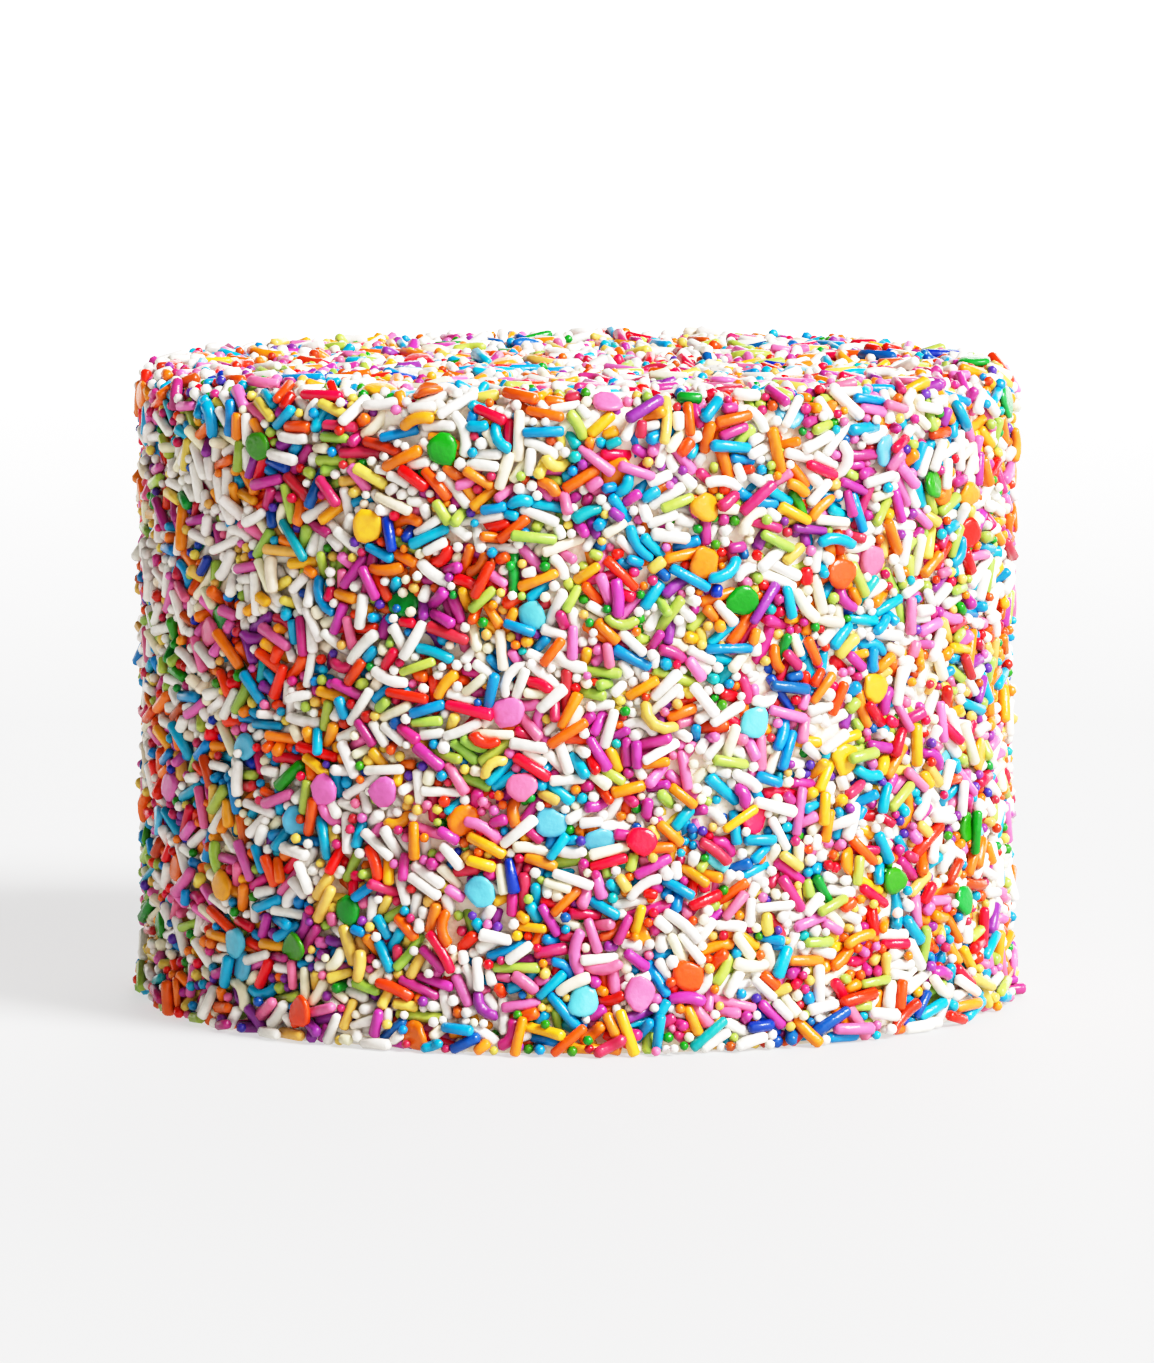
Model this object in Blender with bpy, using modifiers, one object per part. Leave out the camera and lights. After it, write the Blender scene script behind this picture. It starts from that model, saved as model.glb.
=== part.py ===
"""A tall round layer cake covered in rainbow sprinkles: one solid that stands on its flat base.

Lengths are in metres and +Z is up. The origin is the centre of the base.
The cake is whole and uncut, so it is solid. Its outer face is the mean surface of the sprinkle coat,
and the largest sprinkles, the confetti discs and the longer rods, stand out of it.
"""

import math
import random

import bmesh
import bpy
from mathutils import Matrix, Vector

# Driving dimensions of the cake
CAKE_RADIUS = 0.0798
CAKE_HEIGHT = 0.1165
SHOULDER_RADIUS = 0.0045
FOOT_CHAMFER = 0.0008

# The icing was spread by hand, so its surface waves a little. Each wave has its depth in metres,
# its turns in radians per metre along X, Y and Z, and its phase in radians
SPREAD_WAVES = (
    (0.00040, (38.0, 34.0, -21.0), 0.4),
    (0.00025, (-63.0, 71.0, 47.0), 2.0),
    (0.00020, (25.0, -52.0, 60.0), 4.1),
)

# Driving dimensions of the sprinkles
ROD_DIAMETER = 0.0020
ROD_LENGTH_SHORTEST = 0.0055
ROD_LENGTH_LONGEST = 0.0080
DISC_DIAMETER_SMALLEST = 0.0051
DISC_DIAMETER_LARGEST = 0.0059
DISC_THICKNESS = 0.0013
DISC_FACE_SHARE = 0.94

# How the sprinkles are spread
SPRINKLE_COUNT = 262
DISC_SHARE = 0.15
ROD_PROUD = 0.62
DISC_PROUD = 0.60
TILT_MOST = math.radians(7)
EDGE_SWING = math.radians(25)
STEP_JITTER = 0.3
ANGLE_JITTER = math.radians(2)
FOOT_CLEARANCE = 0.0006
SEED = 20

# How finely the faceted surface is cut
BODY_STEPS = 56
SIDE_ROWS = 7
SHOULDER_ROWS = 3
TOP_RINGS = 3
ROD_SIDES = 6
DISC_SIDES = 8
MERGE_DISTANCE = 0.00002
SHARP_ANGLE = math.radians(40)

GOLDEN_ANGLE = math.pi * (3 - math.sqrt(5))

ICING_COLOUR = (0.93, 0.90, 0.86)
ICING_ROUGHNESS = 0.55
SUGAR_ROUGHNESS = 0.35
SPRINKLE_COLOURS = {
    "white": (0.93, 0.91, 0.87),
    "pink": (0.85, 0.10, 0.35),
    "magenta": (0.52, 0.10, 0.42),
    "orange": (0.90, 0.20, 0.03),
    "lime": (0.50, 0.66, 0.15),
    "blue": (0.02, 0.33, 0.65),
    "amber": (0.95, 0.50, 0.05),
    "green": (0.03, 0.33, 0.04),
}
ROD_COLOURS = ("white", "pink", "orange", "lime", "blue", "magenta")
DISC_COLOURS = ("green", "amber", "orange", "pink", "blue")


def clear_scene():
    for old in list(bpy.data.objects):
        bpy.data.objects.remove(old)


def new_collection(name):
    made = bpy.data.collections.new(name)
    bpy.context.scene.collection.children.link(made)
    return made


def sugar_material(name, colour, roughness):
    material = bpy.data.materials.new(name)
    material.use_nodes = True
    shader = material.node_tree.nodes["Principled BSDF"]
    shader.inputs["Base Color"].default_value = (*colour, 1.0)
    shader.inputs["Roughness"].default_value = roughness
    shader.inputs["Metallic"].default_value = 0.0
    material.diffuse_color = (*colour, 1.0)
    return material


def outward(point):
    """The unit normal of the cake's outer face at a point on it, and nothing on the base."""
    reach = math.hypot(point.x, point.y)
    side = max(reach - (CAKE_RADIUS - SHOULDER_RADIUS), 0.0)
    rise = max(point.z - (CAKE_HEIGHT - SHOULDER_RADIUS), 0.0)
    if side == 0.0 and rise == 0.0:
        return Vector((0.0, 0.0, 0.0))
    if side == 0.0:
        return Vector((0.0, 0.0, 1.0))
    return Vector((point.x / reach * side, point.y / reach * side, rise)).normalized()


def hand_spread(point):
    """How far the icing stands out at a point, because it was spread by hand."""
    return sum(depth * math.sin(point.dot(Vector(turns)) + phase) for depth, turns, phase in SPREAD_WAVES)


def cake_profile():
    """Points from the middle of the top, over the shoulder and down the side, to the middle of the base."""
    top_radius = CAKE_RADIUS - SHOULDER_RADIUS
    profile = [(top_radius * ring / TOP_RINGS, CAKE_HEIGHT) for ring in range(TOP_RINGS)]
    for row in range(SHOULDER_ROWS + 1):
        angle = math.pi / 2 * (1 - row / SHOULDER_ROWS)
        reach = CAKE_RADIUS + SHOULDER_RADIUS * (math.cos(angle) - 1)
        height = CAKE_HEIGHT + SHOULDER_RADIUS * (math.sin(angle) - 1)
        profile.append((reach, height))
    side_height = CAKE_HEIGHT - SHOULDER_RADIUS - FOOT_CHAMFER
    for row in range(1, SIDE_ROWS + 1):
        profile.append((CAKE_RADIUS, FOOT_CHAMFER + side_height * (1 - row / SIDE_ROWS)))
    base_radius = CAKE_RADIUS - FOOT_CHAMFER
    profile += [(base_radius, 0.0), (0.0, 0.0)]
    return profile


def turned_body(collection):
    """The cake without its sprinkles, turned from its profile."""
    profile = cake_profile()
    mesh = bpy.data.meshes.new("profile")
    edges = [(i, i + 1) for i in range(len(profile) - 1)]
    mesh.from_pydata([(reach, 0.0, height) for reach, height in profile], edges, [])
    body = bpy.data.objects.new("cake", mesh)
    collection.objects.link(body)
    screw = body.modifiers.new("turn", "SCREW")
    screw.steps = BODY_STEPS
    screw.render_steps = BODY_STEPS
    screw.use_merge_vertices = True
    screw.merge_threshold = MERGE_DISTANCE
    apply_modifiers(body)
    for vertex in body.data.vertices:
        vertex.co += outward(vertex.co) * hand_spread(vertex.co)
    return body


def apply_modifiers(obj):
    """Gives the object the mesh that its modifiers make, and removes them."""
    graph = bpy.context.evaluated_depsgraph_get()
    made = bpy.data.meshes.new_from_object(obj.evaluated_get(graph), depsgraph=graph)
    obj.modifiers.clear()
    obj.data = made


def point_at(area_share, angle):
    """The point of the ideal surface with this share of its area below it, at this angle round the axis."""
    side_length = CAKE_HEIGHT - SHOULDER_RADIUS
    side_area = 2 * math.pi * CAKE_RADIUS * side_length
    top_radius = CAKE_RADIUS - SHOULDER_RADIUS
    shoulder_area = 2 * math.pi * SHOULDER_RADIUS * (math.pi / 2 * top_radius + SHOULDER_RADIUS)
    top_area = math.pi * top_radius**2
    area = area_share * (side_area + shoulder_area + top_area)
    if area < side_area:
        reach, height = CAKE_RADIUS, side_length * area / side_area
    elif area < side_area + shoulder_area:
        turn = math.pi / 2 * (area - side_area) / shoulder_area
        reach = CAKE_RADIUS + SHOULDER_RADIUS * (math.cos(turn) - 1)
        height = CAKE_HEIGHT + SHOULDER_RADIUS * (math.sin(turn) - 1)
    else:
        left = (side_area + shoulder_area + top_area - area) / top_area
        reach, height = top_radius * math.sqrt(left), CAKE_HEIGHT
    return Vector((reach * math.cos(angle), reach * math.sin(angle), height))


def lying_on(normal, heading, tilt):
    """A turn that lays Z along the surface at this heading, with X standing out of it."""
    level = Vector((0.0, 0.0, 1.0)) if normal.z < 0.9 else Vector((1.0, 0.0, 0.0))
    across = level.cross(normal).normalized()
    along = normal.cross(across)
    run = along * math.cos(heading) + across * math.sin(heading)
    run = (run * math.cos(tilt) + normal * math.sin(tilt)).normalized()
    out = (normal - run * normal.dot(run)).normalized()
    return Matrix((out, run.cross(out), run)).transposed().to_4x4()


def rod_mesh(name, length):
    """A rod with domed ends, along Z."""
    bm = bmesh.new()
    # With three rings of faces, the widest vertices of the sphere lie 60 degrees from its poles
    radius = ROD_DIAMETER / 2 / math.sin(math.radians(60))
    bmesh.ops.create_uvsphere(bm, u_segments=ROD_SIDES, v_segments=3, radius=radius)
    for vertex in bm.verts:
        vertex.co.z += math.copysign(length / 2 - radius, vertex.co.z)
    return mesh_from(bm, name)


def disc_mesh(name, diameter):
    """A flat confetti disc, with its axis along X."""
    bm = bmesh.new()
    bmesh.ops.create_cone(
        bm,
        cap_ends=True,
        segments=DISC_SIDES,
        radius1=diameter / 2,
        radius2=diameter / 2 * DISC_FACE_SHARE,
        depth=DISC_THICKNESS,
        matrix=Matrix.Rotation(math.pi / 2, 4, "Y"),
    )
    return mesh_from(bm, name)


def mesh_from(bm, name):
    mesh = bpy.data.meshes.new(name)
    bm.to_mesh(mesh)
    bm.free()
    return mesh


def rod_on(draw, name, share, angle):
    """A rod's mesh and its place. It lies at any heading, but along the edge where it is on the shoulder."""
    length = draw.uniform(ROD_LENGTH_SHORTEST, ROD_LENGTH_LONGEST)
    point = point_at(share, angle)
    if is_on_shoulder(point):
        heading = math.pi / 2 + draw.uniform(-EDGE_SWING, EDGE_SWING)
    else:
        heading = draw.uniform(0, math.pi)
    half_height = length / 2 * abs(math.cos(heading)) + ROD_DIAMETER / 2
    point.z = max(point.z, half_height + FOOT_CLEARANCE)
    tilt = draw.uniform(-TILT_MOST, TILT_MOST)
    place = place_on_surface(point, ROD_DIAMETER * (ROD_PROUD - 0.5), heading, tilt)
    return rod_mesh(name, length), place


def disc_on(draw, name, share, angle):
    """A confetti disc's mesh and its place, flat on the surface."""
    diameter = draw.uniform(DISC_DIAMETER_SMALLEST, DISC_DIAMETER_LARGEST)
    point = point_at(share, angle)
    point.z = max(point.z, diameter / 2 + FOOT_CLEARANCE)
    heading = draw.uniform(0, math.pi)
    tilt = draw.uniform(-TILT_MOST, TILT_MOST)
    place = place_on_surface(point, DISC_THICKNESS * (DISC_PROUD - 0.5), heading, tilt)
    return disc_mesh(name, diameter), place


def is_on_shoulder(point):
    return outward(point).z > 0 and math.hypot(point.x, point.y) > CAKE_RADIUS - SHOULDER_RADIUS


def place_on_surface(point, height, heading, tilt):
    """The place of a sprinkle whose axis is this far above the icing."""
    normal = outward(point)
    lifted = point + normal * (hand_spread(point) + height)
    return Matrix.Translation(lifted) @ lying_on(normal, heading, tilt)


def sprinkles_on(collection):
    """The largest sprinkles, spread evenly over the side, the shoulder and the top."""
    draw = random.Random(SEED)
    sugar = {
        name: sugar_material("sugar_" + name, colour, SUGAR_ROUGHNESS)
        for name, colour in SPRINKLE_COLOURS.items()
    }
    for index in range(SPRINKLE_COUNT):
        share = (index + 0.5 + STEP_JITTER * draw.uniform(-1, 1)) / SPRINKLE_COUNT
        angle = index * GOLDEN_ANGLE + draw.uniform(-ANGLE_JITTER, ANGLE_JITTER)
        if draw.random() < DISC_SHARE and not is_on_shoulder(point_at(share, angle)):
            mesh, place = disc_on(draw, f"disc_{index}", share, angle)
            colour = draw.choice(DISC_COLOURS)
        else:
            mesh, place = rod_on(draw, f"rod_{index}", share, angle)
            colour = draw.choice(ROD_COLOURS)
        mesh.materials.append(sugar[colour])
        sprinkle = bpy.data.objects.new(mesh.name, mesh)
        sprinkle.matrix_world = place
        collection.objects.link(sprinkle)


def fuse(body, collection):
    """Joins everything in the collection to the body, and removes the collection."""
    union = body.modifiers.new("fuse_sprinkles", "BOOLEAN")
    union.operation = "UNION"
    union.operand_type = "COLLECTION"
    union.collection = collection
    union.solver = "EXACT"
    union.material_mode = "TRANSFER"
    bpy.context.view_layer.update()
    apply_modifiers(body)
    for obj in list(collection.objects):
        bpy.data.objects.remove(obj)
    bpy.data.collections.remove(collection)


def main():
    clear_scene()
    cake_parts = new_collection("layer_cake")
    body = turned_body(cake_parts)
    body.data.materials.append(sugar_material("icing", ICING_COLOUR, ICING_ROUGHNESS))
    toppings = new_collection("sprinkles")
    sprinkles_on(toppings)
    fuse(body, toppings)
    body.data.shade_smooth()
    body.data.set_sharp_from_angle(angle=SHARP_ANGLE)


main()
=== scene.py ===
"""The looks of a round layer cake in a dense coat of rainbow sprinkles over white icing.

Lengths are in metres and angles in radians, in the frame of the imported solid: the origin is the centre of
the base and +Z is up. The coat has rods, small balls and confetti discs. Those that stand out of the solid
keep their places, and thousands more are pushed apart between them until they hardly overlap, each held near
its own depth in the icing.
"""

import math
import random
from dataclasses import dataclass

import bpy
import numpy as np
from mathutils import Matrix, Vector, noise

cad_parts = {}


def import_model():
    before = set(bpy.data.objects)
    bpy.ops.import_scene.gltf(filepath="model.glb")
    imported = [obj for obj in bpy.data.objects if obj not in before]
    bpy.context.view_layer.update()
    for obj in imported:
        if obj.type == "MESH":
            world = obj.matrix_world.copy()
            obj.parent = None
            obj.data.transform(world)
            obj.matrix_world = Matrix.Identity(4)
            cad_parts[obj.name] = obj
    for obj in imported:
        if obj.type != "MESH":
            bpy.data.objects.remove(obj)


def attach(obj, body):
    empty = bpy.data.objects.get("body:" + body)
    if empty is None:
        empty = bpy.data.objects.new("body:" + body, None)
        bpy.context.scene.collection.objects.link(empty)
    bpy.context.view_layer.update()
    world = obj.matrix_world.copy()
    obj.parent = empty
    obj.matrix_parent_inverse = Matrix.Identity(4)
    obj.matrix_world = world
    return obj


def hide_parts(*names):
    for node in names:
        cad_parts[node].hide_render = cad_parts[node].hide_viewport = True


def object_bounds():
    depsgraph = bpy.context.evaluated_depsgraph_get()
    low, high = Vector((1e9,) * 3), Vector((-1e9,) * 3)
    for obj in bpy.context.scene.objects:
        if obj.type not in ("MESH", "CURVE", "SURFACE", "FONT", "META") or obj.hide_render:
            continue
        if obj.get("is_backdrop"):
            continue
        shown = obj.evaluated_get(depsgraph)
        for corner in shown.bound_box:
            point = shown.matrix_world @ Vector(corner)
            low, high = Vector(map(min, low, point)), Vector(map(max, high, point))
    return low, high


# The cake and the sprinkles that stand out of it, with the same values as its solid
CAKE_RADIUS = 0.0798
CAKE_HEIGHT = 0.1165
SHOULDER_RADIUS = 0.0045
SPREAD_WAVES = (
    (0.00040, (38.0, 34.0, -21.0), 0.4),
    (0.00025, (-63.0, 71.0, 47.0), 2.0),
    (0.00020, (25.0, -52.0, 60.0), 4.1),
)
ROD_DIAMETER = 0.0020
ROD_LENGTH_SHORTEST = 0.0055
ROD_LENGTH_LONGEST = 0.0080
DISC_DIAMETER_SMALLEST = 0.0051
DISC_DIAMETER_LARGEST = 0.0059
DISC_THICKNESS = 0.0013
SOLID_COUNT = 262
DISC_SHARE = 0.15
ROD_PROUD = 0.62
DISC_PROUD = 0.60
TILT_MOST = math.radians(7)
EDGE_SWING = math.radians(25)
STEP_JITTER = 0.3
ANGLE_JITTER = math.radians(2)
FOOT_CLEARANCE = 0.0006
SOLID_SEED = 20
GOLDEN_ANGLE = math.pi * (3 - math.sqrt(5))

# How upright a normal is where the surface counts as level, a slanting direction to measure across the
# surface from, and a length that counts as none
LEVEL_NORMAL = 0.9
SLANTING = (0.3, 0.5, 0.8)
TINY = 1e-9

# The rest of the coat: how many, which part of them is of each kind, and how large they are
ROD, BALL, DISC = range(3)
COAT_COUNT = 17600
COAT_SEED = 7
BALL_PART = 0.32
DISC_PART = 0.009
BALL_RADII = (0.00080, 0.00106)
ROD_RADII = (0.00096, 0.00117)
ROD_LENGTHS = (0.0038, 0.0064, 0.0094)
BIT_PART = 0.10
BIT_LENGTHS = (0.0024, 0.0038)

# How far the rods turn from end to end: all of them a little, and some of them much more
SOFT_BEND = 0.24
STRONG_BEND_PART = 0.15
STRONG_BENDS = (0.4, 2.2)
BEND_ROLL = math.radians(20)

# How steeply they lean out of the icing. The steep ones are among the raised ones
FLAT_TILT = math.radians(9)
RAISED_PART = 0.38
RAISED_TILTS = (math.radians(12), math.radians(42))
STEEP_PART = 0.15
STEEP_TILTS = (math.radians(42), math.radians(88))
DISC_TILT = math.radians(89)
DISC_TILT_SPREAD = math.radians(6)
PLACE_JITTER = 0.02

# How far their tops stand out of the mean surface. The deep ones fill the gaps between the others
LEVEL_MEAN = 0.00080
LEVEL_SPREAD = 0.00045
LEVEL_LIMITS = (-0.0018, 0.0019)
DEEP_PART = 0.50
DEEP_LEVEL = -0.0006
# Fewer of the deep ones are white, so the gaps between the others look darker: painted shade
DEEP_WHITES = 0.75

# Which part of them take the colour of a neighbour, and how far away it may be
GROUP_PART = 0.30
GROUP_SIZE = 0.007

# Which part of the rods and balls on the flat top turn white, as painted glare: the top is paler than the
# side
TOP_GLARE_WHITES = 0.08

# The sprinkles that fell and lean on the foot of the cake
SKIRT_COUNT = 330
SKIRT_SEED = 11
SKIRT_HEIGHT = 0.0022
SKIRT_HIGHEST = 4 * SKIRT_HEIGHT
SKIRT_WIDTH = 0.0030
SKIRT_ANGLE_JITTER = 0.3
SKIRT_HEADING_SPREAD = 0.5

# How the coat settles
LEAST_BEND = 0.001
ROD_GRIPS = 5
DISC_GRIPS = ((0.0, 1), (0.5, 6), (1.0, 12))
SETTLE_STEPS = 150
STEPS_PER_SEARCH = 10
SEARCH_REACH = 0.0026
PULL_FIRST = 0.25
PULL_LAST = 0.02
CONTACT_GAIN = 1.4
CONTACT_POWER = 0.8
HIDDEN_DEPTH = -0.0035
GROUND_GAP = 0.0001
JAM_DEPTH = 0.00045

# Which sprinkles show: those whose top is nearly the highest in one of the small cells that they cover
COVERED_DEPTH = -0.0018
COVER_CELL = 0.0005
COVER_RINGS = ((0.0, 1), (0.5, 6), (0.9, 12))
COVER_MARGIN = 0.0004

# How finely the sprinkles are modelled. A ring near an end is given by how far in it is, as a share of the
# rod's radius or of the ball's or disc's half height, and by its width as a share of the radius
MESH_SEED = 8
SIDES = {ROD: 7, BALL: 7, DISC: 14}
RINGS = {
    ROD: ((0.0, 0.0), (0.08, 0.64), (0.50, 0.96)),
    BALL: ((0.0, 0.0), (0.30, 0.72), (1.0, 1.0)),
    DISC: ((0.0, 0.0), (0.02, 0.66), (0.22, 0.90), (0.70, 1.0)),
}
ROD_MIDDLES = (-0.62, 0.0, 0.62)
BEND_SHOWN = 0.38
LOWEST_POINT = 0.00005

# How uneven they are: the waves round a disc's outline, how far a disc is warped, how much every width
# wanders, how much a rod tapers, and how much its middle is thinner or thicker than its ends
OUTLINE_WAVES = {ROD: (), BALL: (), DISC: ((2, 0.07), (3, 0.05), (4, 0.035), (5, 0.03))}
DISC_WARP = 0.11
LUMPS = 0.03
TAPER = 0.06
WAIST = 0.05

# The icing, its smears, and the side where it is thicker
ICING_DEPTH = 0.0024
ICING_TOP_RINGS = 40
ICING_SHOULDER_ROWS = 6
ICING_SIDE_ROWS = 60
ICING_STEPS = 240
ICING_MERGE_DISTANCE = 0.00001
SMEAR_SCALE = 60.0
SMEAR_HEIGHT = 0.0004
SMEAR_ROUGHNESS = 0.8
SMEAR_LAYER_STEP = 2.2
SMEAR_LAYERS = 4
RICH_SIDE = (0.54, -0.32, 0.78)
RICH_RISE = 0.0014

# The grain of each surface: how many bumps there are to a metre, how strong they are, and how high
SUGAR_DENTS = (800.0, 0.5, 0.0003)
SUGAR_PITS = (2600.0, 0.25, 0.0001)
ICING_LUMPS = (420.0, 0.8, 0.0011)
ICING_GRAIN = (1100.0, 0.4, 0.0003)
BUMP_DETAIL = 2.0

# Glazed sugar. The hue, shade and dye ranges are how far its colour wanders
SUGAR_ROUGHNESS = 0.26
SUGAR_SPECULAR = 0.38
HUE_RANGE = (0.474, 0.526)
SHADE_RANGE = (0.80, 1.08)
SHADE_SHUFFLE = 37.0
DYE_RANGE = (0.90, 1.06)
DYE_SCALE = 700.0
DYE_DETAIL = 3.0
NOISE_RANGE = (0.3, 0.7)

# Buttercream, in a warm and a paler tone
ICING_ROUGHNESS = 0.45
ICING_SCATTER = 0.35
ICING_SCATTER_COLOUR = (1.0, 0.75, 0.5)
ICING_SCATTER_DEPTH = 0.0020
ICING_TONES = ((0.950, 0.850, 0.745), (0.975, 0.930, 0.850))
SMEAR_TONE_SCALE = 160.0
SMEAR_TONE_DETAIL = 5.0

# The floor, and how its painted glow, which lightens its shadow near the cake, rises between two distances
# from the cake
FLOOR_SIZE = 60.0
FLOOR_COLOUR = (0.58, 0.58, 0.58)
FLOOR_ROUGHNESS = 0.7
FLOOR_SPECULAR = 0.2
FLOOR_GLOW = (0.56, 1.70)
FLOOR_GLOW_REACH = (0.45, 2.40)

# The world, how its glow falls between two heights over the horizon, and how much higher it is behind
WORLD_COLOUR = (1.0, 0.945, 0.905)
WORLD_GLOW = (1.85, 0.06)
WORLD_GLOW_RISE = (0.0, 0.11)
BACKDROP_RISE = 0.45

# How bright the picture shows each amount of light, so that whites keep their shading
TONES = (
    (0.0, 0.0), (0.04, 0.030), (0.09, 0.080), (0.17, 0.174), (0.35, 0.380), (0.55, 0.580),
    (0.80, 0.760), (1.10, 0.880), (1.50, 0.965), (2.00, 1.02),
)

# Each light's heading from the camera's side towards +X, its height over the horizon, its width as seen
# from the cake, all in degrees, and its strength
LIGHTS = {
    "key": (54, 39, 22, 7.3),
    "fill": (46, 18, 80, 2.5),
    "back": (155, 12, 50, 2.0),
}

# The camera, the photo's size in pixels, and the width of the view at the cake
PHOTO_WIDTH = 1154
PHOTO_HEIGHT = 1363
CAMERA_PLACE = (0.0, -1.6, 0.239)
CAMERA_AIM = (0.0, 0.0, 0.058)
VIEW_WIDTH = 0.215


# The shape of the cake


def surface_of(points):
    """How far out of the mean surface of the coat each point is, and which way is out."""
    reach = np.hypot(points[:, 0], points[:, 1])
    radial = np.column_stack((points[:, :2] / np.maximum(reach, TINY)[:, None], np.zeros(len(points))))
    upward = np.array((0.0, 0.0, 1.0))
    side = reach - (CAKE_RADIUS - SHOULDER_RADIUS)
    rise = points[:, 2] - (CAKE_HEIGHT - SHOULDER_RADIUS)
    corner = (side > 0) & (rise > 0)
    outward = np.where((side > rise)[:, None], radial, upward)
    outside = np.maximum(side, rise)
    distance = np.where(corner, np.hypot(side, rise), outside) - SHOULDER_RADIUS
    slant = radial * side[:, None] + upward * rise[:, None]
    outward = np.where(corner[:, None], unit(slant), outward)
    return distance - hand_spread(points), outward


def hand_spread(points):
    """How far the surface stands out at each point, because the icing was spread by hand."""
    return sum(depth * np.sin(points @ np.array(turns) + phase) for depth, turns, phase in SPREAD_WAVES)


def points_at(area_shares, angles):
    """The points of the ideal surface with these shares of its area below them, at these angles."""
    side_length = CAKE_HEIGHT - SHOULDER_RADIUS
    side_area = 2 * math.pi * CAKE_RADIUS * side_length
    top_radius = CAKE_RADIUS - SHOULDER_RADIUS
    shoulder_area = 2 * math.pi * SHOULDER_RADIUS * (math.pi / 2 * top_radius + SHOULDER_RADIUS)
    top_area = math.pi * top_radius**2
    area = area_shares * (side_area + shoulder_area + top_area)
    turn = math.pi / 2 * np.clip((area - side_area) / shoulder_area, 0, 1)
    left = np.clip((side_area + shoulder_area + top_area - area) / top_area, 0, 1)
    reach = np.where(left < 1, top_radius * np.sqrt(left), CAKE_RADIUS + SHOULDER_RADIUS * (np.cos(turn) - 1))
    height = np.where(
        area < side_area,
        side_length * area / side_area,
        CAKE_HEIGHT + SHOULDER_RADIUS * (np.sin(turn) - 1),
    )
    return np.column_stack((reach * np.cos(angles), reach * np.sin(angles), height))


def unit(vectors):
    """The directions of these vectors."""
    return vectors / np.maximum(np.linalg.norm(vectors, axis=1), TINY)[:, None]


def turns_on(normals, headings, tilts, rolls=0.0):
    """A turn for each sprinkle that lays its Z along the surface at its heading, raised by its tilt.

    Its X stands out of the surface, unless it is rolled about its Z.
    """
    start = np.where(normals[:, 2:] < LEVEL_NORMAL, (0.0, 0.0, 1.0), (1.0, 0.0, 0.0))
    across = unit(np.cross(start, normals))
    along = np.cross(normals, across)
    run = along * np.cos(headings)[:, None] + across * np.sin(headings)[:, None]
    run = run * np.cos(tilts)[:, None] + normals * np.sin(tilts)[:, None]
    out = unit(normals - run * (normals * run).sum(axis=1)[:, None])
    rolls = np.broadcast_to(rolls, len(normals))[:, None]
    out = out * np.cos(rolls) + np.cross(run, out) * np.sin(rolls)
    return np.stack((out, np.cross(run, out), run), axis=2)


# The sprinkles


@dataclass
class Coat:
    """Arrays with one row for each sprinkle. A rod's length is along its own Z, and so is a disc's axis.

    The bend is the angle that a rod turns through from end to end, towards its own X. The tilt is how
    steeply it leans out of the icing, and the level is how far its outermost point stands out.
    """

    kind: np.ndarray
    colour: np.ndarray
    length: np.ndarray
    radius: np.ndarray
    bend: np.ndarray
    tilt: np.ndarray
    level: np.ndarray
    fixed: np.ndarray
    centre: np.ndarray
    turn: np.ndarray

    def reach(self):
        """Half the length of the line along which a rod is round, and nothing for the others."""
        return np.where(self.kind == ROD, self.length / 2 - self.radius, 0.0)

    def half_width(self):
        """Half the thickness of each sprinkle, seen from its side."""
        return np.where(self.kind == DISC, self.length / 2, self.radius)

    def joined(self, other):
        return Coat(*(np.concatenate(pair) for pair in zip(vars(self).values(), vars(other).values())))


COLOURS = {
    "white": ((0.935, 0.910, 0.870), "sprinkle_white"),
    "cream": ((0.940, 0.890, 0.760), "sprinkle_white"),
    "pink": ((0.860, 0.390, 0.600), "sprinkle_pink"),
    "rose": ((0.770, 0.160, 0.360), "sprinkle_pink"),
    "magenta": ((0.700, 0.190, 0.505), "sprinkle_purple"),
    "purple": ((0.510, 0.180, 0.530), "sprinkle_purple"),
    "violet": ((0.300, 0.180, 0.580), "sprinkle_purple"),
    "orange": ((0.930, 0.315, 0.040), "sprinkle_orange"),
    "red": ((0.770, 0.120, 0.050), "sprinkle_red"),
    "amber": ((0.945, 0.570, 0.110), "sprinkle_yellow"),
    "yellow": ((0.880, 0.715, 0.310), "sprinkle_yellow"),
    "lime": ((0.610, 0.720, 0.280), "sprinkle_lime"),
    "green": ((0.100, 0.520, 0.050), "sprinkle_green"),
    "teal": ((0.050, 0.620, 0.640), "sprinkle_blue"),
    "blue": ((0.000, 0.555, 0.755), "sprinkle_blue"),
    "navy": ((0.030, 0.280, 0.600), "sprinkle_blue"),
    "sky": ((0.340, 0.720, 0.820), "sprinkle_sky"),
}
COLOUR_NAMES = tuple(COLOURS)
PALE_COLOURS = ("white", "cream")
SOLID_ROD_COLOURS = ("white", "pink", "orange", "lime", "blue", "magenta")
SOLID_DISC_COLOURS = ("green", "amber", "orange", "pink", "sky")
ROD_SHARES = {
    "white": 0.33, "cream": 0.09, "pink": 0.085, "rose": 0.045, "magenta": 0.05, "purple": 0.025,
    "orange": 0.14, "red": 0.03, "amber": 0.07, "yellow": 0.05, "lime": 0.058, "green": 0.008,
    "teal": 0.008, "blue": 0.13, "navy": 0.010,
}
BALL_SHARES = {
    "white": 0.36, "cream": 0.06, "pink": 0.08, "rose": 0.06, "purple": 0.03, "violet": 0.035,
    "orange": 0.14, "red": 0.03, "yellow": 0.09, "lime": 0.04, "green": 0.07, "teal": 0.015,
    "blue": 0.06, "navy": 0.025,
}


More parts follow.
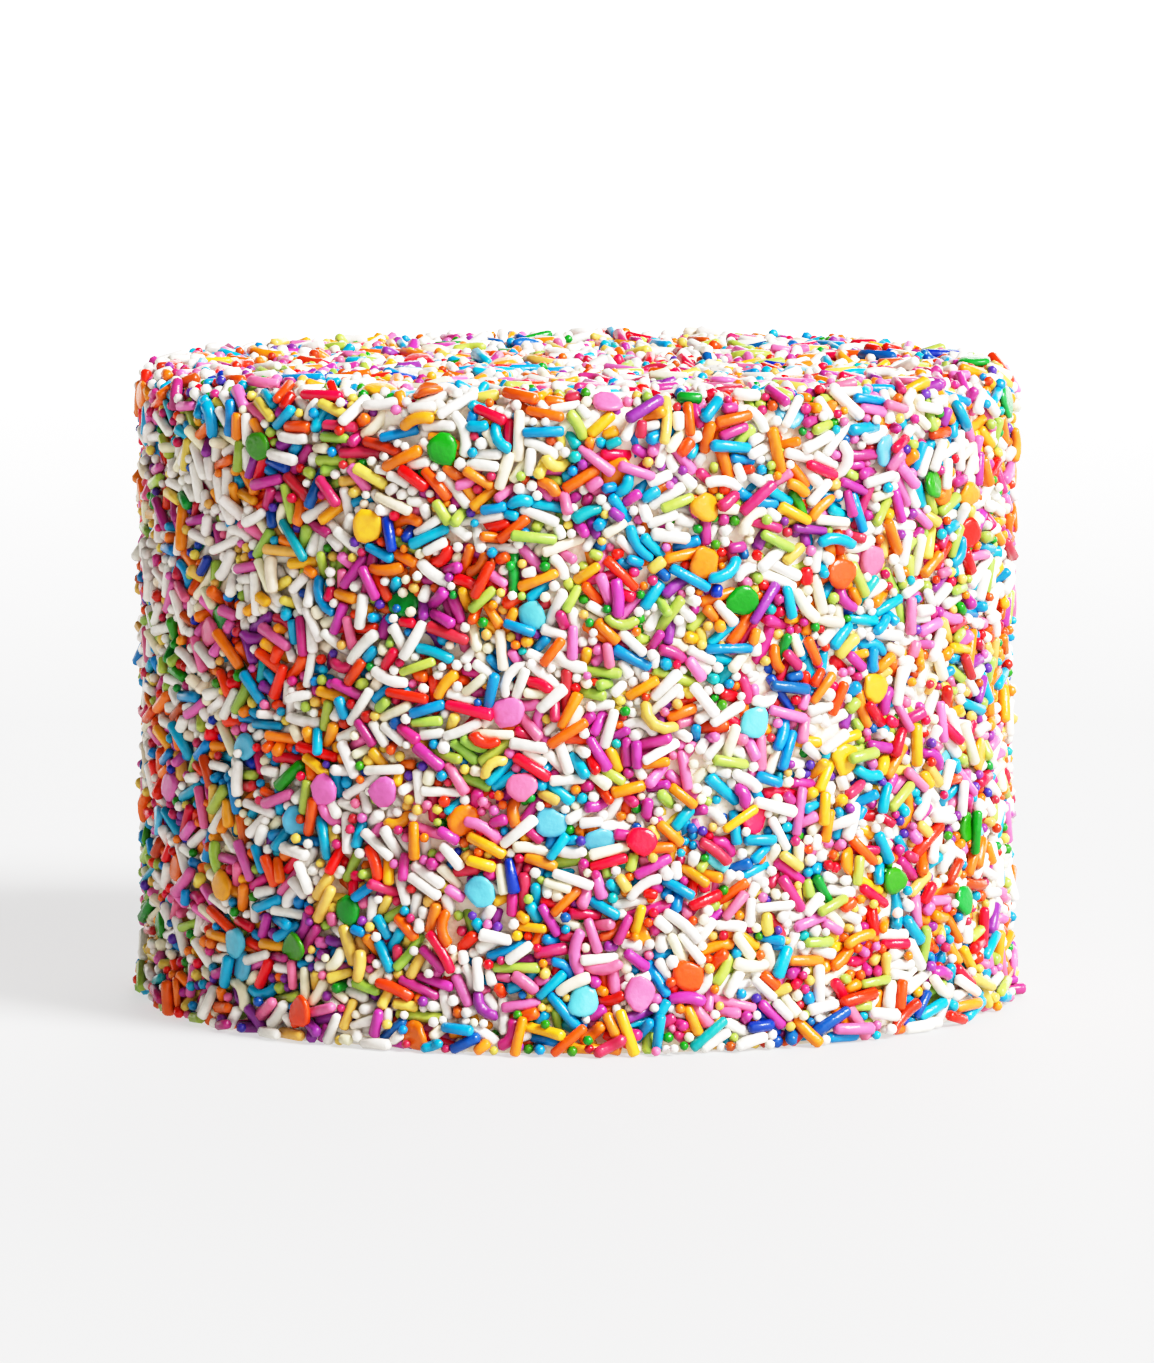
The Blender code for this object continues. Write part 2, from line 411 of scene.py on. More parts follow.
def solid_sprinkles():
    """The sprinkles that stand out of the solid, at their places in it."""
    draw = random.Random(SOLID_SEED)
    rows = []
    for index in range(SOLID_COUNT):
        share = (index + 0.5 + STEP_JITTER * draw.uniform(-1, 1)) / SOLID_COUNT
        angle = index * GOLDEN_ANGLE + draw.uniform(-ANGLE_JITTER, ANGLE_JITTER)
        point = points_at(np.array([share]), np.array([angle]))
        outward = surface_of(point)[1]
        on_shoulder = outward[0, 2] > 0 and math.hypot(*point[0, :2]) > CAKE_RADIUS - SHOULDER_RADIUS
        if draw.random() < DISC_SHARE and not on_shoulder:
            kind = DISC
            radius = draw.uniform(DISC_DIAMETER_SMALLEST, DISC_DIAMETER_LARGEST) / 2
            length, reach, proud = DISC_THICKNESS, radius, DISC_THICKNESS * (DISC_PROUD - 0.5)
            heading = draw.uniform(0, math.pi)
        else:
            kind = ROD
            radius = ROD_DIAMETER / 2
            length = draw.uniform(ROD_LENGTH_SHORTEST, ROD_LENGTH_LONGEST)
            proud = ROD_DIAMETER * (ROD_PROUD - 0.5)
            swing = (math.pi / 2 - EDGE_SWING, math.pi / 2 + EDGE_SWING) if on_shoulder else (0, math.pi)
            heading = draw.uniform(*swing)
            reach = length / 2 * abs(math.cos(heading)) + radius
        tilt = draw.uniform(-TILT_MOST, TILT_MOST)
        colour = draw.choice(SOLID_DISC_COLOURS if kind == DISC else SOLID_ROD_COLOURS)
        point[0, 2] = max(point[0, 2], reach + FOOT_CLEARANCE)
        outward = surface_of(point)[1]
        turn = turns_on(outward, np.array([heading]), np.array([tilt]))[0]
        if kind == DISC:
            turn = turn[:, (2, 1, 0)] * (1, -1, 1)
        centre = point[0] + outward[0] * (hand_spread(point)[0] + proud)
        rows.append((kind, COLOUR_NAMES.index(colour), length, radius, 0.0, tilt, proud, True, centre, turn))
    return Coat(*(np.array(column) for column in zip(*rows)))


def drawn_kinds(draw, count):
    """Which sprinkles are rods, balls and discs."""
    kind = np.where(draw.random(count) < BALL_PART, BALL, ROD)
    return np.where(draw.random(count) < DISC_PART, DISC, kind)


def drawn_sizes(draw, kind):
    """The length and radius of each sprinkle, and which are broken bits."""
    ball, disc = kind == BALL, kind == DISC
    length = draw.triangular(*ROD_LENGTHS, len(kind))
    broken = draw.random(len(kind)) < BIT_PART
    length[broken] = draw.uniform(*BIT_LENGTHS, broken.sum())
    radius = draw.uniform(*ROD_RADII, len(kind))
    radius[ball] = draw.uniform(*BALL_RADII, ball.sum())
    radius[disc] = draw.uniform(DISC_DIAMETER_SMALLEST, DISC_DIAMETER_LARGEST, disc.sum()) / 2
    length[ball] = 2 * radius[ball]
    length[disc] = DISC_THICKNESS
    return length, radius, broken


def drawn_bends(draw, straight):
    """How far each sprinkle bends. Broken bits, balls and discs are straight."""
    count = len(straight)
    bend = np.abs(draw.normal(0, SOFT_BEND, count))
    strong = draw.random(count) < STRONG_BEND_PART
    bend[strong] += draw.uniform(*STRONG_BENDS, strong.sum())
    bend[straight] = 0
    return bend


def drawn_tilts(draw, kind):
    """How steeply each sprinkle leans out. A disc's axis is upright, so that its face lies flat."""
    count = len(kind)
    disc = kind == DISC
    tilt = np.abs(draw.normal(0, FLAT_TILT, count))
    raised = draw.random(count)
    tilt = np.where(raised < RAISED_PART, draw.uniform(*RAISED_TILTS, count), tilt)
    tilt = np.where(raised < STEEP_PART, draw.uniform(*STEEP_TILTS, count), tilt)
    tilt[disc] = DISC_TILT - np.abs(draw.normal(0, DISC_TILT_SPREAD, disc.sum()))
    return tilt


def drawn_levels(draw, count):
    """How far each sprinkle stands out, and which of them are deep."""
    level = draw.normal(LEVEL_MEAN, LEVEL_SPREAD, count)
    deep = draw.random(count) < DEEP_PART
    level[deep] += DEEP_LEVEL - LEVEL_MEAN
    return np.clip(level, *LEVEL_LIMITS), deep


def mixed_colours(draw, shares, whites, count):
    """Colours in these shares, with this part of their white and cream."""
    weights = np.array([share * (whites if name in PALE_COLOURS else 1) for name, share in shares.items()])
    picks = draw.choice(len(shares), count, p=weights / weights.sum())
    return np.array([COLOUR_NAMES.index(name) for name in shares])[picks]


def drawn_colours(draw, kind, deep):
    """The colour of each sprinkle. Fewer of the deep ones are white, which paints shade into the gaps between
    the others.
    """
    colour = np.empty(len(kind), int)
    for part, shares in ((ROD, ROD_SHARES), (BALL, BALL_SHARES)):
        for layer, whites in ((~deep, 1.0), (deep, DEEP_WHITES)):
            rows = (kind == part) & layer
            colour[rows] = mixed_colours(draw, shares, whites, rows.sum())
    disc = kind == DISC
    colour[disc] = draw.choice([COLOUR_NAMES.index(name) for name in SOLID_DISC_COLOURS], disc.sum())
    return colour


def grouped_colours(draw, kind, colour, point):
    """The colours, some of them changed to that of a neighbour, because they are never evenly mixed."""
    cells = np.column_stack((np.floor(point / GROUP_SIZE), kind))
    first, cell = np.unique(cells, axis=0, return_index=True, return_inverse=True)[1:]
    joins = draw.random(len(kind)) < GROUP_PART
    return np.where(joins, colour[first[cell.ravel()]], colour)


def glare_whitened_top(draw, kind, colour, point):
    """The colours, some of them changed to white on the flat top, as painted glare."""
    top = point[:, 2] > CAKE_HEIGHT - SHOULDER_RADIUS / 2
    turns_white = top & (kind != DISC) & (draw.random(len(kind)) < TOP_GLARE_WHITES)
    return np.where(turns_white, COLOUR_NAMES.index("white"), colour)


def loose_sprinkles():
    """The rest of the coat, spread evenly at first, and mostly overlapping."""
    draw = np.random.default_rng(COAT_SEED)
    count = COAT_COUNT
    kind = drawn_kinds(draw, count)
    length, radius, broken = drawn_sizes(draw, kind)
    bend = drawn_bends(draw, broken | (kind != ROD))
    tilt = drawn_tilts(draw, kind)
    level, deep = drawn_levels(draw, count)
    colour = drawn_colours(draw, kind, deep)
    shares = (np.arange(count) + draw.random(count)) / count
    angles = np.arange(count) * GOLDEN_ANGLE + draw.uniform(-PLACE_JITTER, PLACE_JITTER, count)
    point = points_at(shares, angles)
    outward = surface_of(point)[1]
    roll = draw.choice((-1.0, 1.0), count) * draw.normal(math.pi / 2, BEND_ROLL, count)
    turn = turns_on(outward, draw.uniform(0, 2 * math.pi, count), tilt, roll)
    colour = grouped_colours(draw, kind, colour, point)
    # Painted glare: some sprinkles on the flat top turn white
    colour = glare_whitened_top(draw, kind, colour, point)
    fixed = np.zeros(count, bool)
    coat = Coat(kind, colour, length, radius, bend, tilt, level, fixed, point, turn)
    depth = coat.half_width() + coat.reach() * np.sin(tilt)
    coat.centre = point + outward * (hand_spread(point) + level - depth)[:, None]
    return coat


def skirt_sprinkles():
    """Sprinkles that lean on the foot of the cake, all round it."""
    draw = np.random.default_rng(SKIRT_SEED)
    count = SKIRT_COUNT
    coat = only(loose_sprinkles(), np.arange(count))
    jitter = draw.uniform(-SKIRT_ANGLE_JITTER, SKIRT_ANGLE_JITTER, count)
    angles = np.arange(count) * GOLDEN_ANGLE + jitter
    outward = np.column_stack((np.cos(angles), np.sin(angles), np.zeros(count)))
    height = draw.exponential(SKIRT_HEIGHT, count)
    width = SKIRT_WIDTH * np.clip(1 - height / SKIRT_HIGHEST, 0, 1)
    coat.level = LEVEL_MEAN + width * draw.random(count)
    coat.centre = outward * (CAKE_RADIUS + coat.level - coat.half_width())[:, None]
    coat.centre[:, 2] = height + coat.half_width()
    coat.turn = turns_on(outward, draw.normal(math.pi / 2, SKIRT_HEADING_SPREAD, count), coat.tilt)
    return coat


# How the sprinkles are pushed apart


def arc(along, bend, length):
    """Points of a rod's middle line at these distances from its middle."""
    curve = np.maximum(bend, LEAST_BEND) / length
    return np.stack(
        ((1 - np.cos(curve * along)) / curve, np.zeros_like(along), np.sin(curve * along) / curve), axis=-1
    )


def spots_of(rings):
    """Spots on a round face of radius 1, from the radius of each ring and how many spots it has."""
    return [
        (reach * math.cos(2 * math.pi * i / count), reach * math.sin(2 * math.pi * i / count))
        for reach, count in rings
        for i in range(count)
    ]


@dataclass
class Grips:
    """Small spheres that stand for the sprinkles while they are pushed apart."""

    owner: np.ndarray
    local: np.ndarray
    radius: np.ndarray


def grips_of(coat):
    """Spheres along each rod, one in each ball, and rings of them in each disc."""
    rods, balls, discs = (np.flatnonzero(coat.kind == kind) for kind in (ROD, BALL, DISC))
    parts = [(balls, np.zeros((len(balls), 3)), coat.radius[balls])]
    for share in np.linspace(-1, 1, ROD_GRIPS):
        along = share * coat.reach()[rods]
        parts.append((rods, arc(along, coat.bend[rods], coat.length[rods]), coat.radius[rods]))
    thick = coat.length[discs] / 2
    for x, y in spots_of(DISC_GRIPS):
        parts.append((discs, (coat.radius[discs] - thick)[:, None] * np.array((x, y, 0.0)), thick))
    return Grips(*(np.concatenate(column) for column in zip(*parts)))


def near_pairs(points, owner, reach):
    """Pairs of grips of different sprinkles that lie within reach of each other."""
    cells = np.floor(points / reach).astype(np.int64)
    cells -= cells.min(axis=0) - 1
    size = cells.max(axis=0) + 2
    key = (cells[:, 0] * size[1] + cells[:, 1]) * size[2] + cells[:, 2]
    order = np.argsort(key, kind="stable")
    sorted_key = key[order]
    found = []
    for step in np.ndindex(3, 3, 3):
        x, y, z = (number - 1 for number in step)
        if (x, y, z) < (0, 0, 0):
            continue
        other = key + (x * size[1] + y) * size[2] + z
        start = np.searchsorted(sorted_key, other, "left")
        count = np.searchsorted(sorted_key, other, "right") - start
        first = np.repeat(np.arange(len(key)), count)
        place = np.arange(len(first)) - np.repeat(np.cumsum(count) - count, count)
        second = order[np.repeat(start, count) + place]
        keep = owner[first] != owner[second]
        if (x, y, z) == (0, 0, 0):
            keep &= first < second
        first, second = first[keep], second[keep]
        near = ((points[first] - points[second]) ** 2).sum(axis=1) < reach**2
        found.append((first[near], second[near]))
    return tuple(np.concatenate(column) for column in zip(*found))


def totals(owner, vectors, count):
    """The sum of the vectors of each owner."""
    return np.column_stack([np.bincount(owner, vectors[:, axis], count) for axis in range(3)])


class Pushes:
    """Moves and spins of the sprinkles, gathered from their contacts and then averaged."""

    def __init__(self, coat):
        self.count = len(coat.kind)
        self.loose = np.where(coat.fixed, 0.0, 1.0)
        self.inertia = coat.length**2 / 12 + coat.radius**2 / 3
        self.move = np.zeros((self.count, 3))
        self.spin = np.zeros((self.count, 3))
        self.contacts = np.zeros(self.count)

    def ease(self, owner, lever):
        """How far a push of one unit moves the place where it acts."""
        return self.loose[owner] * (1 + (lever**2).sum(axis=1) / self.inertia[owner])

    def add(self, owner, push, lever):
        """Adds a contact of each owner, with its push and how that turns it."""
        self.move += totals(owner, push, self.count)
        self.spin += totals(owner, lever / self.inertia[owner][:, None], self.count)
        self.contacts += np.bincount(owner, minlength=self.count)

    def apply(self, coat):
        """Moves and turns the sprinkles by about the mean of their contacts."""
        share = (self.loose * CONTACT_GAIN / np.maximum(self.contacts, 1) ** CONTACT_POWER)[:, None]
        coat.centre = coat.centre + self.move * share
        coat.turn = turned(coat.turn, self.spin * share)


def turned(turn, spin):
    """The turns after a small spin each."""
    run = unit(turn[:, :, 2] + np.cross(spin, turn[:, :, 2]))
    out = turn[:, :, 0] + np.cross(spin, turn[:, :, 0])
    out = unit(out - run * (out * run).sum(axis=1)[:, None])
    return np.stack((out, np.cross(run, out), run), axis=2)


def places_of(coat, grips):
    """Where each grip is, and where it is from the centre of its sprinkle."""
    arm = np.einsum("nij,nj->ni", coat.turn[grips.owner], grips.local)
    return coat.centre[grips.owner] + arm, arm


def push_apart(coat, grips, pairs, depth):
    """Moves sprinkles that overlap away from each other, and up from the ground."""
    point, arm = places_of(coat, grips)
    first, second = pairs
    between = point[first] - point[second]
    distance = np.linalg.norm(between, axis=1)
    overlap = grips.radius[first] + grips.radius[second] - distance
    hit = (overlap > 0) & (np.minimum(depth[first], depth[second]) > HIDDEN_DEPTH)
    first, second, overlap = first[hit], second[hit], overlap[hit]
    way = between[hit] / np.maximum(distance[hit], TINY)[:, None]
    pushes = Pushes(coat)
    lever = (np.cross(arm[first], way), np.cross(arm[second], way))
    owner = (grips.owner[first], grips.owner[second])
    ease = pushes.ease(owner[0], lever[0]) + pushes.ease(owner[1], lever[1])
    strength = (overlap / np.maximum(ease, TINY))[:, None]
    pushes.add(owner[0], way * strength, lever[0] * strength)
    pushes.add(owner[1], -way * strength, -lever[1] * strength)
    sunk = np.flatnonzero(point[:, 2] < grips.radius + GROUND_GAP)
    up = np.tile((0.0, 0.0, 1.0), (len(sunk), 1))
    lever_up = np.cross(arm[sunk], up)
    rise = grips.radius[sunk] + GROUND_GAP - point[sunk, 2]
    strength = (rise / np.maximum(pushes.ease(grips.owner[sunk], lever_up), TINY))[:, None]
    pushes.add(grips.owner[sunk], up * strength, lever_up * strength)
    pushes.apply(coat)


def draw_in(coat, grips, share):
    """Draws each sprinkle towards its own depth and tilt in the icing, and gives each grip's depth."""
    point, arm = places_of(coat, grips)
    depth, outward = surface_of(point)
    owner = grips.owner
    lag = (coat.reach()[owner] - grips.local[:, 2]) * np.sin(coat.tilt[owner])
    wanted = coat.level[owner] - grips.radius - np.where(coat.kind[owner] == ROD, lag, 0.0)
    pull = outward * (wanted - depth)[:, None]
    count = np.bincount(owner, minlength=len(coat.kind))
    loose = np.where(coat.fixed, 0.0, share / count)
    arm_squares = np.bincount(owner, (arm**2).sum(axis=1), len(coat.kind)) / count
    spin = totals(owner, np.cross(arm, pull), len(coat.kind)) / np.maximum(arm_squares, TINY)[:, None]
    coat.centre = coat.centre + totals(owner, pull, len(coat.kind)) * loose[:, None]
    coat.turn = turned(coat.turn, spin * loose[:, None])
    return depth


def settle(coat):
    """Pushes the sprinkles apart until they hardly overlap, all near their own depths."""
    grips = grips_of(coat)
    for step in range(SETTLE_STEPS):
        if step % STEPS_PER_SEARCH == 0:
            pairs = near_pairs(places_of(coat, grips)[0], grips.owner, SEARCH_REACH)
        pull = PULL_FIRST + (PULL_LAST - PULL_FIRST) * step / SETTLE_STEPS
        depth = draw_in(coat, grips, pull)
        push_apart(coat, grips, pairs, depth)
    sunk = grips.radius + GROUND_GAP - places_of(coat, grips)[0][:, 2]
    lift = np.zeros(len(coat.kind))
    np.maximum.at(lift, grips.owner, sunk)
    coat.centre[:, 2] += np.where(coat.fixed, 0, lift)


def unjammed(coat):
    """The coat without the loose sprinkles that are still pressed deep into others."""
    grips = grips_of(coat)
    point = places_of(coat, grips)[0]
    first, second = near_pairs(point, grips.owner, SEARCH_REACH)
    distance = np.linalg.norm(point[first] - point[second], axis=1)
    jammed = grips.radius[first] + grips.radius[second] - distance > JAM_DEPTH
    pair = np.column_stack((grips.owner[first], grips.owner[second]))[jammed]
    drop = np.where(coat.fixed[pair[:, 0]], pair[:, 1], pair[:, 0])
    return only(coat, ~np.isin(np.arange(len(coat.kind)), drop))


def only(coat, rows):
    """The same coat with only these rows."""
    return Coat(*(column[rows] for column in vars(coat).values()))


def showing(coat):
    """The coat without the sprinkles that the icing or other sprinkles cover."""
    grips = grips_of(coat)
    point = places_of(coat, grips)[0]
    depth, outward = surface_of(point)
    across = unit(np.cross(outward, SLANTING))
    along = np.cross(outward, across)
    foot = point - outward * depth[:, None]
    feet, tops = [], []
    for x, y in spots_of(COVER_RINGS):
        feet.append(foot + (across * x + along * y) * grips.radius[:, None])
        tops.append(depth + grips.radius * math.sqrt(1 - x**2 - y**2))
    cells = np.floor(np.concatenate(feet) / COVER_CELL).astype(np.int64)
    cell = np.unique(cells, axis=0, return_inverse=True)[1].ravel()
    tops = np.concatenate(tops)
    highest = np.full(cell.max() + 1, COVERED_DEPTH + COVER_MARGIN)
    np.maximum.at(highest, cell, tops)
    seen = tops > highest[cell] - COVER_MARGIN
    owners = np.tile(grips.owner, len(feet))
    return only(coat, np.isin(np.arange(len(coat.kind)), owners[seen]) | coat.fixed)


# Their meshes


def turned_faces(rings, sides):
    """Triangles of a closed turned shape, whose points are one end, its rings, and the other end."""
    here = np.arange(sides)
    after = (here + 1) % sides
    last = 1 + rings * sides
    faces = [np.column_stack((np.zeros(sides, int), 1 + after, 1 + here))]
    for ring in range(rings - 1):
        low = 1 + ring * sides
        high = low + sides
        faces.append(np.column_stack((low + here, low + after, high + after)))
        faces.append(np.column_stack((low + here, high + after, high + here)))
    low = last - sides
    faces.append(np.column_stack((low + here, low + after, np.full(sides, last))))
    return np.concatenate(faces)


def turned_points(coat, along, out, sides, draw):
    """Points of each sprinkle, from rings at these distances along its middle line and with these radii."""
    count, rings = along.shape
    middle = arc(along, coat.bend[:, None], coat.length[:, None])
    lean = np.maximum(coat.bend, LEAST_BEND)[:, None] * along / coat.length[:, None]
    inward = np.stack((np.cos(lean), np.zeros_like(lean), -np.sin(lean)), axis=-1)
    angles = np.arange(sides) * 2 * math.pi / sides + draw.uniform(0, 2 * math.pi, (count, 1))
    size = out[:, 1:-1, None] * draw.normal(1, LUMPS, (count, rings - 2, sides))
    for waves, depth in OUTLINE_WAVES[coat.kind[0]]:
        size *= 1 + depth * np.sin(waves * angles + draw.uniform(0, 2 * math.pi, (count, 1)))[:, None, :]
    across = size * np.cos(angles)[:, None, :]
    aside = size * np.sin(angles)[:, None, :]
    points = middle[:, 1:-1, None, :] + across[..., None] * inward[:, 1:-1, None, :]
    points[..., 1] += aside
    if coat.kind[0] == DISC:
        warp = draw.normal(0, DISC_WARP, (count, 1, 1)) / coat.radius[:, None, None]
        points[..., 2] += warp * across * (across + aside)
    points = points.reshape(count, -1, 3)
    points = np.concatenate((middle[:, :1], points, middle[:, -1:]), axis=1)
    points = np.einsum("nij,nkj->nki", coat.turn, points) + coat.centre[:, None, :]
    points[..., 2] = np.maximum(points[..., 2], LOWEST_POINT)
    return points


def rings_of(coat, kind, draw):
    """Where the rings of each sprinkle of one kind are along it, and how wide they are."""
    half = coat.length[:, None] / 2
    radius = coat.radius[:, None]
    ends, widths = np.array(RINGS[kind]).T
    inset = ends * (radius if kind == ROD else half)
    middles = np.array(ROD_MIDDLES if kind == ROD and coat.bend.max() > BEND_SHOWN else ())
    mirrored = slice(None, None, -1) if ends[-1] < 1 else slice(-2, None, -1)
    along = np.concatenate((inset - half, middles * (half - radius), half - inset[:, mirrored]), axis=1)
    out = np.concatenate((widths, np.ones(len(middles)), widths[mirrored])) * radius
    if kind == ROD:
        taper = draw.normal(0, TAPER, (len(half), 1))
        waist = draw.normal(0, WAIST, (len(half), 1))
        share = along / half
        out = out * (1 + taper * share + waist * share**2)
    return along, out


def turned_shapes(coat, kind, draw):
    """The points of all of these sprinkles, and their triangles."""
    along, out = rings_of(coat, kind, draw)
    points = turned_points(coat, along, out, SIDES[kind], draw)
    faces = turned_faces(along.shape[1] - 2, SIDES[kind])
    count, each = points.shape[:2]
    corners = faces[None] + (np.arange(count) * each)[:, None, None]
    return points.reshape(-1, 3), corners.reshape(-1, 3)


def joined_piece(name, coat, kind, material, draw):
    """One mesh with all of these sprinkles. Those that bend have more rings than the straight ones."""
    bent = coat.bend > BEND_SHOWN
    parts = [turned_shapes(only(coat, rows), kind, draw) for rows in (bent, ~bent) if rows.any()]
    starts = np.cumsum([0] + [len(points) for points, corners in parts])
    corners = np.concatenate([part[1] + start for part, start in zip(parts, starts)])
    points = np.concatenate([part[0] for part in parts])
    mesh = bpy.data.meshes.new(name)
    mesh.vertices.add(len(points))
    mesh.vertices.foreach_set("co", points.astype(np.float32).ravel())
    mesh.loops.add(corners.size)
    mesh.loops.foreach_set("vertex_index", corners.astype(np.int32).ravel())
    mesh.polygons.add(len(corners))
    mesh.polygons.foreach_set("loop_start", np.arange(0, corners.size, 3, dtype=np.int32))
    mesh.update(calc_edges=True)
    mesh.shade_smooth()
    mesh.materials.append(material)
    piece = bpy.data.objects.new(name, mesh)
    bpy.context.scene.collection.objects.link(piece)
    return piece


# Materials


def linear(colour):
    """A colour as light, from the same colour as it shows on a screen."""
    return tuple(c / 12.92 if c <= 0.04045 else ((c + 0.055) / 1.055) ** 2.4 for c in colour) + (1.0,)


def new_material(name):
    material = bpy.data.materials.new(name)
    material.use_nodes = True
    return material, material.node_tree.nodes, material.node_tree.links


def scaled(nodes, links, number, from_range, to_range):
    """The number, moved from one range to another."""
    node = nodes.new("ShaderNodeMapRange")
    for word, limits in (("From", from_range), ("To", to_range)):
        node.inputs[f"{word} Min"].default_value, node.inputs[f"{word} Max"].default_value = limits
    links.new(number, node.inputs["Value"])
    return node.outputs["Result"]


def worked_out(nodes, links, operation, first, second=None):
    """The result of a sum on one or two numbers, each a socket or a plain value."""
    node = nodes.new("ShaderNodeMath")
    node.operation = operation
    for socket, number in zip(node.inputs, (first, second)):
        if isinstance(number, float):
            socket.default_value = number
        elif number is not None:
            links.new(number, socket)
    return node.outputs["Value"]


def noise_at(nodes, links, place, scale, detail):
    """Noise with this many waves to a metre."""
    node = nodes.new("ShaderNodeTexNoise")
    node.inputs["Scale"].default_value = scale
    node.inputs["Detail"].default_value = detail
    links.new(place, node.inputs["Vector"])
    return node.outputs["Fac"]


def add_bumps(nodes, links, shader, place, layers):
    """Bends the light on a surface as layers of bumps would, the coarsest first."""
    below = None
    for scale, strength, height in layers:
        node = nodes.new("ShaderNodeBump")
        node.inputs["Strength"].default_value = strength
        node.inputs["Distance"].default_value = height
        links.new(noise_at(nodes, links, place, scale, BUMP_DETAIL), node.inputs["Height"])
        if below:
            links.new(below, node.inputs["Normal"])
        below = node.outputs["Normal"]
    links.new(below, shader.inputs["Normal"])


def sugar_material(name, colour):
    """Glazed sugar: each sprinkle a little lighter or darker, its dye a little uneven, and a satin gloss."""
    material, nodes, links = new_material(name)
    shader = nodes["Principled BSDF"]
    shader.inputs["Roughness"].default_value = SUGAR_ROUGHNESS
    shader.inputs["Specular IOR Level"].default_value = SUGAR_SPECULAR
    place = nodes.new("ShaderNodeTexCoord").outputs["Object"]
    chance = nodes.new("ShaderNodeNewGeometry").outputs["Random Per Island"]
    shuffled = worked_out(nodes, links, "MULTIPLY", chance, SHADE_SHUFFLE)
    other_chance = worked_out(nodes, links, "FRACT", shuffled)
    shade = scaled(nodes, links, other_chance, (0, 1), SHADE_RANGE)
    dye = scaled(nodes, links, noise_at(nodes, links, place, DYE_SCALE, DYE_DETAIL), NOISE_RANGE, DYE_RANGE)
    tint = nodes.new("ShaderNodeHueSaturation")
    tint.inputs["Color"].default_value = linear(colour)
    links.new(scaled(nodes, links, chance, (0, 1), HUE_RANGE), tint.inputs["Hue"])
    links.new(worked_out(nodes, links, "MULTIPLY", shade, dye), tint.inputs["Value"])
    links.new(tint.outputs["Color"], shader.inputs["Base Color"])
    add_bumps(nodes, links, shader, place, (SUGAR_DENTS, SUGAR_PITS))
    return material


def icing_material():
    """White buttercream with faint smears."""
    material, nodes, links = new_material("icing")
    shader = nodes["Principled BSDF"]
    shader.inputs["Roughness"].default_value = ICING_ROUGHNESS
    shader.inputs["Subsurface Weight"].default_value = ICING_SCATTER
    shader.inputs["Subsurface Radius"].default_value = ICING_SCATTER_COLOUR
    shader.inputs["Subsurface Scale"].default_value = ICING_SCATTER_DEPTH
    place = nodes.new("ShaderNodeTexCoord").outputs["Object"]
    tone = nodes.new("ShaderNodeValToRGB")
    for element, position, colour in zip(tone.color_ramp.elements, NOISE_RANGE, ICING_TONES):
        element.position = position
        element.color = linear(colour)
    links.new(noise_at(nodes, links, place, SMEAR_TONE_SCALE, SMEAR_TONE_DETAIL), tone.inputs["Fac"])
    links.new(tone.outputs["Color"], shader.inputs["Base Color"])
    add_bumps(nodes, links, shader, place, (ICING_LUMPS, ICING_GRAIN))
    return material


def floor_material():
    """A pale floor whose painted glow lightens its shadow near the cake and grows to white away from it, as
    in a bright studio.
    """
    material, nodes, links = new_material("floor")
    shader = nodes["Principled BSDF"]
    shader.inputs["Base Color"].default_value = linear(FLOOR_COLOUR)
    shader.inputs["Roughness"].default_value = FLOOR_ROUGHNESS
    shader.inputs["Specular IOR Level"].default_value = FLOOR_SPECULAR
    shader.inputs["Emission Color"].default_value = (1.0, 1.0, 1.0, 1.0)
    away = nodes.new("ShaderNodeVectorMath")
    away.operation = "LENGTH"
    links.new(nodes.new("ShaderNodeNewGeometry").outputs["Position"], away.inputs[0])
    glow = scaled(nodes, links, away.outputs["Value"], FLOOR_GLOW_REACH, FLOOR_GLOW)
    links.new(glow, shader.inputs["Emission Strength"])
    return material


# The icing


def icing_profile():
    """Points from the middle of the top, over the shoulder and down the side, to the middle of the base."""
    radius = CAKE_RADIUS - ICING_DEPTH
    height = CAKE_HEIGHT - ICING_DEPTH
    bend = SHOULDER_RADIUS - ICING_DEPTH
    flat = radius - bend
    points = [(flat * ring / ICING_TOP_RINGS, height) for ring in range(ICING_TOP_RINGS)]
    for row in range(ICING_SHOULDER_ROWS + 1):
        angle = math.pi / 2 * (1 - row / ICING_SHOULDER_ROWS)
        points.append((flat + bend * math.cos(angle), height - bend + bend * math.sin(angle)))
    for row in range(1, ICING_SIDE_ROWS + 1):
        points.append((radius, (height - bend) * (1 - row / ICING_SIDE_ROWS)))
    return points + [(flat, 0.0), (0.0, 0.0)]


def icing_piece():
    """The icing under the sprinkles, uneven where the knife went over it."""
    profile = icing_profile()
    mesh = bpy.data.meshes.new("icing")
    edges = [(i, i + 1) for i in range(len(profile) - 1)]
    mesh.from_pydata([(reach, 0.0, height) for reach, height in profile], edges, [])
    piece = bpy.data.objects.new("icing", mesh)
    bpy.context.scene.collection.objects.link(piece)
    screw = piece.modifiers.new("turn", "SCREW")
    screw.steps = ICING_STEPS
    screw.render_steps = ICING_STEPS
    screw.use_merge_vertices = True
    screw.merge_threshold = ICING_MERGE_DISTANCE
    graph = bpy.context.evaluated_depsgraph_get()
    piece.data = bpy.data.meshes.new_from_object(piece.evaluated_get(graph), depsgraph=graph)
    piece.modifiers.clear()
    points = np.empty(len(piece.data.vertices) * 3)
    piece.data.vertices.foreach_get("co", points)
    points = points.reshape(-1, 3)
    outward = surface_of(points)[1]
    lift = hand_spread(points) + icing_relief(points, outward)
    lift[points[:, 2] <= 0] = 0
    points += outward * lift[:, None]
    piece.data.vertices.foreach_set("co", points.ravel())
    piece.data.update()
    piece.data.shade_smooth()
    piece.data.materials.clear()
    piece.data.materials.append(icing_material())
    return piece


